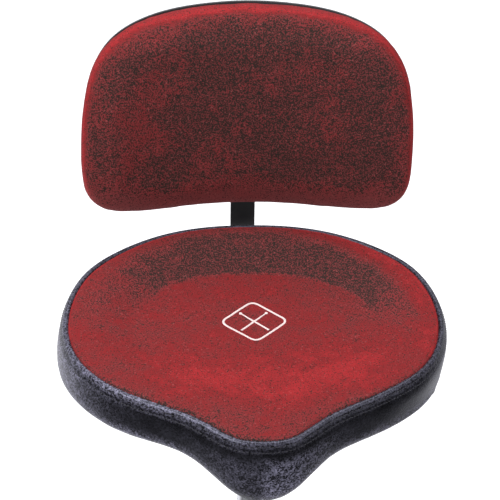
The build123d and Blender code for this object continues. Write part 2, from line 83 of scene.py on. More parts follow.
def closed_spline(half, count):
    """The smooth closed curve through half and its mirror image: count points, normals, length."""
    pts = np.array(half + [(-x, y) for x, y in reversed(half[1:-1])], float)
    n = len(pts)
    nxt = np.roll(pts, -1, 0)
    h = np.linalg.norm(nxt - pts, axis=1)
    a = np.zeros((n, n))
    b = np.zeros((n, 2))
    for i in range(n):
        p, q = (i - 1) % n, (i + 1) % n
        a[i, p], a[i, i], a[i, q] = h[p], 2 * (h[p] + h[i]), h[i]
        b[i] = 6 * ((pts[q] - pts[i]) / h[i] - (pts[i] - pts[p]) / h[p])
    m = np.linalg.solve(a, b)
    dense = []
    for i in range(n):
        q = (i + 1) % n
        u = np.linspace(0, h[i], 80, endpoint=False)[:, None]
        v = h[i] - u
        dense.append(
            m[i] * v**3 / (6 * h[i]) + m[q] * u**3 / (6 * h[i])
            + (pts[i] / h[i] - m[i] * h[i] / 6) * v + (pts[q] / h[i] - m[q] * h[i] / 6) * u
        )
    dense = np.vstack(dense + [dense[0][:1]])
    run = np.concatenate([[0], np.cumsum(np.linalg.norm(np.diff(dense, axis=0), axis=1))])
    at = np.linspace(0, run[-1], count, endpoint=False)
    out = np.stack([np.interp(at, run, dense[:, k]) for k in (0, 1)], 1)
    tangent = np.roll(out, -1, 0) - np.roll(out, 1, 0)
    tangent /= np.linalg.norm(tangent, axis=1)[:, None]
    normal = np.stack([tangent[:, 1], -tangent[:, 0]], 1)
    return out, normal, run[-1]


def step(x, lo, hi):
    t = np.clip((np.asarray(x, float) - lo) / (hi - lo), 0, 1)
    return t * t * (3 - 2 * t)


def mesh_object(name, verts, faces):
    mesh = bpy.data.meshes.new(name)
    mesh.from_pydata([tuple(v) for v in verts], [], [tuple(f) for f in faces])
    mesh.validate()
    mesh.update()
    obj = bpy.data.objects.new(name, mesh)
    bpy.context.scene.collection.objects.link(obj)
    mesh.polygons.foreach_set("use_smooth", [True] * len(mesh.polygons))
    return obj


def ring_faces(rings, count, closed_to_point=False):
    """Quads between rings of count points each; with closed_to_point, vertex 0 is the middle."""
    faces = []
    base = 1 if closed_to_point else 0
    if closed_to_point:
        for i in range(count):
            faces.append((0, base + i, base + (i + 1) % count))
    for r in range(rings - 1):
        a0, b0 = base + r * count, base + (r + 1) * count
        for i in range(count):
            j = (i + 1) % count
            faces.append((a0 + i, b0 + i, b0 + j, a0 + j))
    return faces


def wobble(points, scale, seed):
    """Smooth noise from -1 to 1 at points given in mm."""
    places = (Vector((p[0] / scale + seed, p[1] / scale - seed, p[2] / scale)) for p in points)
    return np.array([noise.noise(place) for place in places])


def simulate(obj, pressure, cap_mm, stiffness, bending, pin=None, voxel=None):
    """Inflates obj with the cloth solver and keeps at most cap_mm of each point's movement."""
    scene = bpy.context.scene
    bpy.context.view_layer.objects.active = obj
    if voxel:
        mod = obj.modifiers.new("remesh", "REMESH")
        mod.mode = "VOXEL"
        mod.voxel_size = voxel * MM
        mod.use_smooth_shade = True
        bake_modifiers(obj)
    start = np.array([v.co for v in obj.data.vertices])
    cloth = obj.modifiers.new("cloth", "CLOTH")
    s = cloth.settings
    s.quality = 6
    s.mass = 0.25
    s.tension_stiffness = s.compression_stiffness = stiffness
    s.shear_stiffness = 8.0
    s.bending_stiffness = bending
    s.use_pressure = True
    s.uniform_pressure_force = pressure
    s.effector_weights.gravity = 0.0
    if pin:
        s.vertex_group_mass = pin
    cloth.collision_settings.use_collision = False
    cloth.collision_settings.use_self_collision = False
    cloth.point_cache.frame_start, cloth.point_cache.frame_end = 1, CLOTH_FRAMES
    for f in range(1, CLOTH_FRAMES + 1):
        scene.frame_set(f)
    bake_modifiers(obj)
    scene.frame_set(1)
    end = np.array([v.co for v in obj.data.vertices])
    move = end - start
    size = np.linalg.norm(move, axis=1)
    cap = cap_mm * MM
    keep = np.where(size > 1e-9, cap * np.tanh(size / cap) / np.maximum(size, 1e-9), 0)
    obj.data.vertices.foreach_set("co", (start + move * keep[:, None]).ravel())
    obj.data.update()


def bake_modifiers(obj):
    """Replaces the mesh with what its modifiers make of it."""
    deps = bpy.context.evaluated_depsgraph_get()
    made = bpy.data.meshes.new_from_object(
        obj.evaluated_get(deps), preserve_all_data_layers=True, depsgraph=deps
    )
    old = obj.data
    obj.modifiers.clear()
    obj.data = made
    bpy.data.meshes.remove(old)


def subdivide(obj):
    mod = obj.modifiers.new("subsurf", "SUBSURF")
    mod.levels = mod.render_levels = 1
    bake_modifiers(obj)
    obj.data.polygons.foreach_set("use_smooth", [True] * len(obj.data.polygons))


# ---------------------------------------------------------------- materials


class Nodes:
    """Shorthand for one material's node tree. All textures are in the object's own metres."""

    def __init__(self, name):
        self.mat = bpy.data.materials.new(name)
        self.mat.use_nodes = True
        self.tree = self.mat.node_tree
        self.tree.nodes.clear()
        self.out = self.tree.nodes.new("ShaderNodeOutputMaterial")
        self.bsdf = self.tree.nodes.new("ShaderNodeBsdfPrincipled")
        self.link(self.bsdf.outputs[0], self.out.inputs[0])
        self.coord = self.tree.nodes.new("ShaderNodeTexCoord").outputs["Object"]

    def link(self, a, b):
        self.tree.links.new(a, b)

    def set(self, **values):
        for key, value in values.items():
            self.bsdf.inputs[key.replace("_", " ")].default_value = value

    def node(self, kind, **props):
        made = self.tree.nodes.new(kind)
        for key, value in props.items():
            setattr(made, key, value)
        return made

    def scaled(self, x, y, z):
        made = self.node("ShaderNodeMapping")
        made.inputs["Scale"].default_value = (x, y, z)
        self.link(self.coord, made.inputs["Vector"])
        return made.outputs[0]

    def noise(self, size_mm, detail=2.0, rough=0.5, vector=None, distortion=0.0):
        made = self.node("ShaderNodeTexNoise")
        made.inputs["Scale"].default_value = 1000.0 / size_mm
        made.inputs["Detail"].default_value = detail
        made.inputs["Roughness"].default_value = rough
        made.inputs["Distortion"].default_value = distortion
        self.link(vector or self.coord, made.inputs["Vector"])
        return made.outputs["Fac"]

    def cells(self, size_mm, feature="F1"):
        made = self.node("ShaderNodeTexVoronoi", feature=feature)
        made.inputs["Scale"].default_value = 1000.0 / size_mm
        self.link(self.coord, made.inputs["Vector"])
        return made.outputs["Distance"]

    def waves(self, size_mm, axis, distortion=0.0):
        made = self.node("ShaderNodeTexWave", bands_direction=axis)
        # About one band, light or dark, per size_mm.
        made.inputs["Scale"].default_value = 1000.0 / size_mm / 20.0 * 3.18
        made.inputs["Distortion"].default_value = distortion
        made.inputs["Detail"].default_value = 1.0
        self.link(self.coord, made.inputs["Vector"])
        return made.outputs["Fac"]

    def math(self, op, a, b=None, c=None, clamp=False):
        made = self.node("ShaderNodeMath", operation=op, use_clamp=clamp)
        for i, value in enumerate((a, b, c)):
            if value is None:
                continue
            if isinstance(value, (int, float)):
                made.inputs[i].default_value = value
            else:
                self.link(value, made.inputs[i])
        return made.outputs[0]

    def remap(self, value, lo, hi, to_lo, to_hi):
        made = self.node("ShaderNodeMapRange")
        self.link(value, made.inputs["Value"])
        for key, v in (("From Min", lo), ("From Max", hi), ("To Min", to_lo), ("To Max", to_hi)):
            made.inputs[key].default_value = v
        return made.outputs[0]

    def ramp(self, value, stops):
        made = self.node("ShaderNodeValToRGB")
        elements = made.color_ramp.elements
        while len(elements) < len(stops):
            elements.new(0.5)
        for element, (at, colour) in zip(elements, stops):
            element.position = at
            element.color = (*colour, 1.0)
        self.link(value, made.inputs[0])
        return made.outputs[0]

    def mix(self, fac, a, b):
        made = self.node("ShaderNodeMix", data_type="RGBA")
        for key, value in ((0, fac), (6, a), (7, b)):
            if isinstance(value, (int, float)):
                made.inputs[key].default_value = value
            elif isinstance(value, tuple):
                made.inputs[key].default_value = (*value, 1.0)
            else:
                self.link(value, made.inputs[key])
        return made.outputs[2]

    def bump(self, layers):
        """layers: (height socket, depth in mm) from coarse to fine."""
        normal = None
        for height, depth in layers:
            made = self.node("ShaderNodeBump")
            made.inputs["Strength"].default_value = 1.0
            made.inputs["Distance"].default_value = depth * MM
            self.link(height, made.inputs["Height"])
            if normal is not None:
                self.link(normal, made.inputs["Normal"])
            normal = made.outputs[0]
        self.link(normal, self.bsdf.inputs["Normal"])

    def colour(self, socket):
        self.link(socket, self.bsdf.inputs["Base Color"])

    def rough(self, socket):
        self.link(socket, self.bsdf.inputs["Roughness"])


def velour():
    """Short red pile, coloured by the painted sheen and shade kept per vertex: dark tufts where it
    is low, red where it is high.
    """
    m = Nodes("red_velour")
    m.set(Sheen_Weight=0.11, Sheen_Roughness=0.4, Sheen_Tint=(1.0, 0.08, 0.09, 1.0))
    m.set(Specular_IOR_Level=0.08)
    sheen_pattern = m.noise(60.0, 3.0, 0.55, distortion=0.6)
    patches = m.noise(14.0, 4.0, 0.6, distortion=0.4)
    tuft = m.noise(1.9, 1.0, 0.6)
    speck = m.noise(1.1, 0.0, 0.5)
    painted_glint = m.noise(1.9, 0.0, 0.5, m.scaled(1.0, 1.3, 1.0))
    painted_sheen_and_shade = m.node("ShaderNodeAttribute", attribute_name="painted_sheen_and_shade").outputs["Fac"]
    painted_sheen_level = m.math("ADD", painted_sheen_and_shade, m.remap(sheen_pattern, 0.3, 0.7, -0.07, 0.07))
    painted_sheen_level = m.math("ADD", painted_sheen_level, m.remap(patches, 0.3, 0.7, -0.08, 0.08))
    # Painted sheen: the colour runs from dark to bright red with the painted sheen level.
    red = m.ramp(painted_sheen_level, [(0.08, (0.145, 0.0300, 0.0305)), (0.16, (0.188, 0.0285, 0.0300)),
                          (0.32, (0.170, 0.0210, 0.0220)), (0.45, (0.190, 0.0160, 0.0175)),
                          (0.60, (0.280, 0.0190, 0.0215)), (0.95, (0.190, 0.0190, 0.0205))])
    shade = m.remap(painted_sheen_level, 0.07, 0.38, 0.75, -0.32)
    coarse = m.remap(tuft, 0.25, 0.75, -1.15, 1.15)
    grain = m.math("ADD", coarse, m.remap(speck, 0.2, 0.8, -1.1, 1.1))
    dark = m.math("ADD", shade, grain, clamp=True)
    # Painted shade: velour that faces downwards is greyed.
    normal = m.node("ShaderNodeSeparateXYZ")
    m.link(m.node("ShaderNodeNewGeometry").outputs["Normal"], normal.inputs[0])
    red = m.mix(m.remap(normal.outputs[2], -0.50, 0.10, 0.70, 0.0), red, (0.190, 0.072, 0.072))
    pile = m.mix(dark, red, (0.023, 0.0180, 0.0155))
    # Painted glints: pale flecks over the pile.
    m.colour(m.mix(m.remap(painted_glint, 0.70, 0.80, 0.0, 0.42), pile, (0.34, 0.095, 0.090)))
    m.rough(m.remap(tuft, 0.2, 0.8, 0.82, 0.98))
    m.bump([(sheen_pattern, 1.2), (patches, 0.35), (tuft, 0.30)])
    return m.mat


def vinyl():
    """Black upholstery vinyl: pebble grain, semi-gloss, with pale painted reflections in it where a
    value per vertex says so.
    """
    m = Nodes("black_vinyl")
    m.set(Specular_IOR_Level=0.42, Specular_Tint=(0.78, 0.79, 1.0, 1.0))
    pebble = m.cells(2.2, "SMOOTH_F1")
    fine = m.noise(2.1, 2.0, 0.7)
    mottle = m.noise(6.5, 3.0, 0.6)
    soft = m.noise(24.0, 3.0, 0.5)
    paleness = m.node("ShaderNodeAttribute", attribute_name="paleness").outputs["Fac"]
    tone = m.ramp(soft, [(0.3, (0.0050, 0.0048, 0.0058)), (0.7, (0.0080, 0.0077, 0.0094))])
    caught = m.remap(fine, 0.3, 0.7, -0.75, 1.75)
    caught = m.math("ADD", caught, m.remap(mottle, 0.3, 0.7, -0.55, 0.55))
    caught = m.math("MAXIMUM", caught, 0.0)
    # Painted reflection: the per-vertex value plus a faint random paleness, shown where the grain
    # catches light.
    paleness = m.math("ADD", paleness, m.remap(soft, 0.35, 0.65, 0.0, 0.03))
    painted_reflection = m.math("MULTIPLY", caught, paleness, clamp=True)
    m.colour(m.mix(painted_reflection, tone, (0.205, 0.198, 0.275)))
    gloss = m.remap(soft, 0.3, 0.7, 0.25, 0.32)
    m.rough(m.math("ADD", gloss, m.remap(fine, 0.3, 0.7, -0.07, 0.07)))
    m.bump([(soft, 0.5), (pebble, 0.20), (fine, 0.20)])
    return m.mat


def thread(name, colour):
    m = Nodes(name)
    m.set(Sheen_Weight=0.2, Sheen_Roughness=0.4)
    ply = m.noise(0.5, 2.0, 0.5)
    low, high = tuple(c * 0.72 for c in colour), tuple(min(1, c * 1.12) for c in colour)
    m.colour(m.ramp(ply, [(0.25, low), (0.75, high)]))
    m.rough(m.remap(ply, 0.2, 0.8, 0.55, 0.75))
    m.bump([(ply, 0.12)])
    return m.mat


def powder_coat():
    m = Nodes("black_powder_coat")
    m.set(Specular_IOR_Level=0.5)
    peel, fine = m.noise(1.6, 2.0, 0.5), m.noise(0.5, 1.0, 0.5)
    wear = m.noise(35.0, 5.0, 0.6)
    m.colour(m.ramp(wear, [(0.35, (0.018, 0.017, 0.018)), (0.7, (0.030, 0.028, 0.030))]))
    m.rough(m.remap(wear, 0.3, 0.7, 0.36, 0.50))
    m.bump([(peel, 0.05), (fine, 0.02)])
    return m.mat


def chrome():
    m = Nodes("bright_chrome")
    m.set(Metallic=1.0)
    smear = m.noise(28.0, 4.0, 0.6)
    lines = m.noise(0.5, 2.0, 0.5, m.scaled(1.0, 1.0, 0.04))
    m.colour(m.ramp(smear, [(0.3, (0.72, 0.73, 0.75)), (0.7, (0.80, 0.81, 0.82))]))
    gloss = m.remap(smear, 0.3, 0.7, 0.07, 0.15)
    m.rough(m.math("ADD", gloss, m.remap(lines, 0.4, 0.7, 0.0, 0.05)))
    m.bump([(lines, 0.004)])
    return m.mat


def zinc():
    m = Nodes("zinc_plate")
    m.set(Metallic=1.0)
    spangle, mist = m.cells(2.2), m.noise(9.0, 4.0, 0.6)
    m.colour(m.ramp(mist, [(0.3, (0.42, 0.42, 0.40)), (0.7, (0.60, 0.60, 0.57))]))
    gloss = m.remap(mist, 0.3, 0.7, 0.28, 0.42)
    m.rough(m.math("ADD", gloss, m.remap(spangle, 0.0, 1.0, 0.0, 0.06)))
    m.bump([(spangle, 0.01)])
    return m.mat


def plastic():
    m = Nodes("black_moulded_plastic")
    m.set(Specular_IOR_Level=0.45)
    leather, soft = m.cells(0.9, "SMOOTH_F1"), m.noise(40.0, 3.0, 0.5)
    m.colour(m.ramp(soft, [(0.3, (0.022, 0.022, 0.023)), (0.7, (0.032, 0.032, 0.034))]))
    m.rough(m.remap(soft, 0.3, 0.7, 0.48, 0.60))
    m.bump([(leather, 0.05)])
    return m.mat


def rubber():
    m = Nodes("black_rubber")
    m.set(Specular_IOR_Level=0.35)
    paleness, grit = m.noise(14.0, 5.0, 0.65), m.noise(0.9, 2.0, 0.5)
    m.colour(m.ramp(paleness, [(0.35, (0.024, 0.024, 0.025)), (0.75, (0.055, 0.053, 0.052))]))
    m.rough(m.remap(paleness, 0.3, 0.7, 0.70, 0.88))
    m.bump([(grit, 0.06)])
    return m.mat


def plywood():
    m = Nodes("plywood")
    m.set(Specular_IOR_Level=0.3)
    plies = m.waves(3.0, "Z", 0.4)
    figure = m.noise(7.0, 5.0, 0.6, m.scaled(1.0, 0.08, 1.0), 0.8)
    face = m.ramp(figure, [(0.3, (0.42, 0.28, 0.15)), (0.7, (0.62, 0.46, 0.28))])
    m.colour(m.mix(m.remap(plies, 0.35, 0.6, 0.0, 0.45), face, (0.30, 0.17, 0.08)))
    m.rough(m.remap(figure, 0.3, 0.7, 0.6, 0.8))
    m.bump([(figure, 0.1)])
    return m.mat


def dust_cloth():
    m = Nodes("black_nonwoven_cloth")
    m.set(Sheen_Weight=0.15, Specular_IOR_Level=0.2)
    dots, fibre = m.cells(1.8), m.noise(0.8, 3.0, 0.6)
    m.colour(m.ramp(fibre, [(0.3, (0.012, 0.012, 0.013)), (0.7, (0.028, 0.028, 0.030))]))
    m.rough(m.remap(fibre, 0.3, 0.7, 0.8, 0.95))
    m.bump([(dots, 0.12), (fibre, 0.06)])
    return m.mat


def foam():
    m = Nodes("cushion_foam")
    m.set(Specular_IOR_Level=0.2)
    cell, age = m.cells(1.2), m.noise(30.0, 3.0, 0.5)
    m.colour(m.ramp(age, [(0.3, (0.62, 0.56, 0.36)), (0.7, (0.78, 0.74, 0.56))]))
    m.rough(m.remap(cell, 0.0, 1.0, 0.8, 1.0))
    m.bump([(cell, 0.4)])
    return m.mat


MATERIALS = {
    "velour": velour(), "vinyl": vinyl(), "foam": foam(), "plywood": plywood(),
    "dust_cloth": dust_cloth(), "black_steel": powder_coat(), "chrome": chrome(),
    "zinc_steel": zinc(), "black_plastic": plastic(), "rubber": rubber(),
}
DARK_THREAD = thread("dark_bonded_thread", (0.035, 0.034, 0.040))
PALE_THREAD = thread("pale_embroidery_thread", (0.74, 0.60, 0.58))


def set_values(obj, name, values):
    """Keeps a number per vertex for the materials: the velour's painted sheen and shade, and the
    vinyl's painted reflection.
    """
    layer = obj.data.attributes.new(name, "FLOAT", "POINT")
    layer.data.foreach_set("value", np.asarray(values, np.float32))


def set_painted_sheen(obj, sheen_pattern):
    """Painted sheen and shade per vertex: how far the surface turns from the fixed viewpoint, plus a
    painted pattern.
    """
    co = np.array([v.co for v in obj.data.vertices])
    normal = np.array([v.normal for v in obj.data.vertices])
    towards = np.array(PAINTED_SHEEN_VIEWPOINT) - co
    towards /= np.linalg.norm(towards, axis=1)[:, None]
    set_values(obj, "painted_sheen_and_shade", sheen_pattern + 1 - np.clip((normal * towards).sum(1), 0, 1))


def dress(obj, slot, body, material=None):
    obj.data.materials.clear()
    obj.data.materials.append(material or MATERIALS[slot])
    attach(obj, body)


for row in frame["record"]["subparts"]:
    node = frame["nodes"][row["node"]]
    node.data.materials.clear()
    node.data.materials.append(MATERIALS[row["material_slot"]])

# ---------------------------------------------------------------- seat shape

COUNT = 720
SEAM, SEAM_N, SEAM_LEN = closed_spline(PANEL, COUNT)
BEARING = np.degrees(np.arctan2(SEAM[:, 1] - SEAT_MID[1], SEAM[:, 0] - SEAT_MID[0])) % 360


def near_bearing(centre, width):
    gap = (BEARING - centre + 180) % 360 - 180
    return np.exp(-((gap / width) ** 2))


# The cover is not sewn quite evenly: a little fuller at one side than at the other.
SEAM += SEAM_N * (2.0 * near_bearing(190.0, 15.0) - 2.4 * near_bearing(323.0, 13.0))[:, None]


def seam_z(y):
    """Height of the velour's seam above the front edge's plane."""
    return 12.0 * step(y, -20, 150) - 6.0 * (1 - step(y, -185, -110))


def wall_foot(x, y):
    """Height of the wall's lowest line: the nose hangs lower than the rest."""
    return -WALL - 32.0 * np.exp(-((np.abs(x) / 52.0) ** 2.2)) * (1 - step(y, -130, -60))


def slope_share(y, inside):
    """How far down the dish's wall a point is: 0 on the flat rim, 1 at the foot, then more."""
    rear = step(y, -110, 50)
    return np.maximum(inside - 4.0 - 12.0 * rear, 0) / (58.0 - 10.0 * rear)


def seat_height(xy, inside):
    """Height of the velour, in mm over the front edge's plane, a distance inside the seam."""
    x, y = xy[..., 0], xy[..., 1]
    edge = seam_z(y)
    floor = -5.0 - 4.5 * step(y, -120, 60)
    floor += 1.5 * np.exp(-(((y + 120) / 50.0) ** 2) - (x / 60.0) ** 2)
    # The wall steepens down to a crisp foot.
    fall = slope_share(y, inside) ** 1.7
    blend = np.clip(0.5 + 0.5 * (1 - fall) / 0.2, 0, 1)
    down = fall * blend + (1 - blend) - 0.2 * blend * (1 - blend)
    crown = 0.9 * (1 - np.exp(-inside / 3.0)) - 2.0 * np.exp(-inside / 1.3)
    roll = rear_roll(y) * np.exp(-((inside / 4.5) ** 1.5))
    return edge + (floor - edge) * down + crown - roll


def rear_roll(y):
    """How far the velour rolls over at its rear edge before it meets the vinyl."""
    return 5.0 * step(y, 70, 150)


def seat_grid(rings):
    """Points of the velour on a polar grid, middle first, and how far inside the seam they are."""
    spoke = SEAM - SEAT_MID
    reach = np.linalg.norm(spoke, axis=1)
    shares = 1 - (1 - np.linspace(0.0, 1, rings)) ** 1.35
    xy = [SEAT_MID + spoke * s for s in shares]
    inside = [reach * (1 - s) * 0.93 for s in shares]
    return np.array(xy), np.array(inside)


def seat_painted_sheen(pts, inside):
    """Painted sheen and shade on the seat: the dish's wall darker at the rear, most on the right;
    rim and nose redder.
    """
    x, y = pts[:, 0], pts[:, 1]
    share = slope_share(y, inside)
    bearing = np.degrees(np.arctan2(y + 4.0, x))
    around = step(bearing, -2, 40) * (1 - step(bearing, 118, 165))
    wall = step(share, 0.1, 0.55) * (1 - step(share, 0.96, 1.06))
    side = np.exp(-(((bearing - 28.0) / 24.0) ** 2))
    # lean is painted shade where it is negative and painted sheen where it is positive.
    lean = -(0.14 + 0.18 * side) * wall * around
    rim = 1 - step(share, 0.0, 0.3)
    lean += 0.12 * step(bearing, -30, 20) * (1 - step(bearing, 50, 80)) * rim
    lean += 0.05 * (1 - step(np.abs(y), 60, 130)) * rim
    lean -= 0.25 * np.exp(-(((bearing - 92.0) / 34.0) ** 2)) * (1 - step(share, 0.0, 0.5))
    middle = 1 - step(np.abs(x - 25.0), 50, 190)
    lean += 0.15 * step(-y, -10, 110) * middle * (1 - 0.6 * step(-y, 110, 170))
    lean -= 0.06 * np.exp(-(((x + 130.0) / 60.0) ** 2) - ((y + 20.0) / 60.0) ** 2)
    return lean - 0.05 * np.exp(-(((x - 110.0) / 50.0) ** 2) - ((y - 15.0) / 50.0) ** 2)


def build_velour_top():
    rings = 84
    xy, inside = seat_grid(rings + 1)
    xy, inside = xy[1:], inside[1:]
    z = seat_height(xy, inside)
    pts = np.concatenate([xy, z[..., None]], -1).reshape(-1, 3)
    mid_inside = 150.0
    mid = np.array([[*SEAT_MID, seat_height(SEAT_MID, np.array(mid_inside))]])
    pts = np.vstack([mid, pts])
    depth = np.concatenate([[mid_inside], inside.ravel()])
    soft = step(depth, 4, 40)
    pts[:, 2] += 0.9 * wobble(pts, 46.0, 3.1) * soft + 0.4 * wobble(pts, 19.0, 7.7) * soft
    # The cover is gathered a little where it is sewn.
    along = np.concatenate([[0], np.tile(np.arange(COUNT) * SEAM_LEN / COUNT, rings)])
    gather = np.array([noise.noise(Vector((a / 9.0, 0.3, 0.0))) for a in along])
    pts[:, 2] += 0.7 * gather * np.exp(-depth / 9.0) * step(depth, 0.5, 4)
    pts[:, 2] += SEAT_Z
    obj = mesh_object("seat_velour_top", pts * MM, ring_faces(rings, COUNT, True))
    pin = obj.vertex_groups.new(name="sewn")
    for i, d in enumerate(depth):
        if d < 12:
            pin.add([i], float(1 - step(d, 3, 12)), "REPLACE")
    relax = [i for i, d in enumerate(depth) if d < 3]
    pin.add(relax, 1.0, "REPLACE")
    simulate(obj, 1.6, 2.2, stiffness=40.0, bending=4.0, pin="sewn")
    obj.vertex_groups.clear()
    set_painted_sheen(obj, seat_painted_sheen(pts, depth))
    dress(obj, "velour", "seat")
    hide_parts("seat_top_panel", "seat_foam")
    return obj


# The wall's section, top to bottom: distance outside the seam, height, share of its own height.
WALL_SECTION = [
    (-2.2, -4.2, 0), (-1.0, -3.6, 0), (-0.3, -2.4, 0), (0.3, -0.9, 0), (1.3, 0.0, 0), (2.6, 0.4, 0),
    (3.9, 0.3, 0), (5.2, -0.4, 0), (6.2, -1.5, 0), (6.8, -2.8, 0), (6.9, -3.9, 0), (7.4, -4.8, 0),
    (8.1, -5.9, 0), (8.7, -7.1, 0), (9.1, -8.4, 0), (9.1, -9.3, 0), (9.6, -10.4, 0),
    (10.1, -12.0, 0), (10.5, -14.5, 0.02), (10.8, -17.5, 0.08), (11.0, -21.5, 0.2),
    (11.0, -27.0, 0.35), (10.8, -33.0, 0.5), (10.4, -39.0, 0.66), (9.8, -44.5, 0.8),
    (8.8, -49.0, 0.9), (7.2, -52.6, 0.96), (5.2, -55.0, 1), (2.6, -56.6, 1), (-0.5, -57.3, 1),
    (-5.0, -57.5, 1), (-12.0, -57.5, 1), (-18.4, -57.3, 1), (-18.5, -56.2, 1),
]
STITCH_ROWS = [(6.95, -3.9), (9.2, -9.3)]


def wall_belly():
    """How much further out the wall's lower half stands: most on the left, least on the right."""
    left, right = near_bearing(182.0, 32.0), near_bearing(338.0, 26.0)
    return 2.0 + 1.5 * left - 4.5 * right + 0.5 * near_bearing(NOSE, 12.0)


def wall_painted_reflection(z):
    """Painted reflection round the seam at one height: the vinyl made pale on the top roll, the
    foot, the nose and the sides.
    """
    roll = step(z, -7.5, -3.5) + 0.45 * step(z, -12.5, -9.5) * (1 - step(z, -8.5, -6.5))
    top = roll * (0.15 + 0.42 * near_bearing(215.0, 40.0) + 0.03 * near_bearing(315.0, 30.0))
    edge = step(z, -57.0, -53.0)
    foot = (1 - step(z, -48, -33)) * edge * (0.28 + 0.34 * near_bearing(228.0, 26.0))
    at_nose = near_bearing(NOSE, 20.0)
    nose = at_nose * (1 - step(z, -24, -13)) * edge
    nose *= 0.22 + 0.34 * step(SEAM[:, 0], -6, 6)
    side = 0.60 * near_bearing(186.0, 21.0) + 0.22 * near_bearing(352.0, 14.0)
    side = step(-z, 6, 12) * edge * side
    return top + foot * (1 - at_nose) + nose + side


def build_vinyl_wall():
    section = np.array(WALL_SECTION)
    fine = []
    for a, b in zip(section[:-1], section[1:]):
        cuts = 2 if abs(b[1] - a[1]) > 1.2 or abs(b[0] - a[0]) > 3 else 1
        for k in range(cuts):
            fine.append(a + (b - a) * k / cuts)
    section = np.array(fine + [section[-1]])
    edge, foot, belly = seam_z(SEAM[:, 1]), wall_foot(SEAM[:, 0], SEAM[:, 1]), wall_belly()
    foot += 1.5 * near_bearing(232.0, 16.0)
    rows, paleness = [], []
    for out, z, share in section:
        head = edge - rear_roll(SEAM[:, 1]) * (1 - step(-z, 6, 30))
        drop = head * (1 - share) + (foot + WALL) * share
        # Away from the top, the wall runs from the seam's height to its own foot.
        lean = belly * (step(-z, 10, 42) * (1 - step(-z, 44, 56)) - 0.35 * (z < -57))
        seam_fold = 1.3 * np.exp(-((SEAM[:, 0] / 1.1) ** 2)) * (SEAM[:, 1] < -150) * (z < -10.5)
        xy = SEAM + SEAM_N * (out + lean - seam_fold)[:, None]
        rows.append(np.concatenate([xy, (z + drop)[:, None]], 1))
        # Painted reflection: how pale the vinyl is painted at this height.
        paleness.append(wall_painted_reflection(z))
    pts = np.array(rows)
    flat = pts.reshape(-1, 3)
    wave = wobble(flat, 55.0, 11.0) * 0.7 + wobble(flat, 17.0, 5.0) * 0.22
    loose = np.repeat(step(-section[:, 1], 9, 20) * step(section[:, 0], -1, 6), COUNT)
    push = np.tile(SEAM_N, (len(section), 1)) * (wave * loose)[:, None]
    flat[:, :2] += push
    # Small puckers between the stitches.
    turn = np.arange(COUNT) * SEAM_LEN / COUNT
    pucker = np.array([noise.noise(Vector((a / 4.2, 2.0, 0.0))) for a in turn]) * 0.45
    near = np.exp(-((section[:, 1] + 6.5) / 4.5) ** 2)
    push = (near[:, None] * pucker[None]).reshape(-1, 1)
    flat[:, :2] += np.tile(SEAM_N, (len(section), 1)) * push
    flat[:, 2] += SEAT_Z
    obj = mesh_object("seat_vinyl_wall", flat * MM, ring_faces(len(section), COUNT))
    set_values(obj, "paleness", np.concatenate(paleness))
    dress(obj, "vinyl", "seat")
    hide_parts("seat_side_band", "seat_top_welt")


def capsule(length, radius, sides=6):
    """Stitch along X: a small rounded bar, slightly bowed."""
    verts, faces = [], []
    stations = [(-0.5, 0.35), (-0.32, 0.9), (0, 1.0), (0.32, 0.9), (0.5, 0.35)]
    for t, r in stations:
        for k in range(sides):
            a = 2 * math.pi * k / sides
            bow = 0.10 * (1 - 4 * t * t)
            verts.append((t * length, r * radius * math.cos(a), r * radius * math.sin(a) + bow))
    for s in range(len(stations) - 1):
        for k in range(sides):
            j = (k + 1) % sides
            faces.append((s * sides + k, s * sides + j, (s + 1) * sides + j, (s + 1) * sides + k))
    faces.append(tuple(range(sides)))
    faces.append(tuple(reversed(range((len(stations) - 1) * sides, len(stations) * sides))))
    return np.array(verts), faces


def scatter(name, frames, verts, faces):
    """One mesh of many copies; frames are 3x4 arrays (columns x, y, z axes, place)."""
    all_v, all_f = [], []
    for k, f in enumerate(frames):
        all_v.append(verts @ f[:, :3].T + f[:, 3])
        all_f += [tuple(i + k * len(verts) for i in face) for face in faces]
    return mesh_object(name, np.vstack(all_v) * MM, all_f)


def build_stitches():
    pitch, length, radius = 3.6, 2.5, 0.36
    frames = []
    verts, faces = capsule(length, radius)
    steps = int(SEAM_LEN / pitch)
    edge = seam_z(SEAM[:, 1]) - rear_roll(SEAM[:, 1])
    for row, (out, z) in enumerate(STITCH_ROWS):
        for k in range(steps):
            at = (k + 0.5 * row) / steps * COUNT
            i = int(at) % COUNT
            j, f = (i + 1) % COUNT, at - int(at)
            xy = SEAM[i] * (1 - f) + SEAM[j] * f
            n = SEAM_N[i] * (1 - f) + SEAM_N[j] * f
            e = edge[i] * (1 - f) + edge[j] * f
            place = np.array([*(xy + n * (out + 0.15)), SEAT_Z + z + e])
            t = np.array([-n[1], n[0], 0.0])
            o = np.array([n[0], n[1], 0.25])
            o /= np.linalg.norm(o)
            frames.append(np.stack([t, np.cross(o, t), o, place], 1))
    obj = scatter("seat_topstitching", frames, verts, faces)
    dress(obj, "vinyl", "seat", DARK_THREAD)


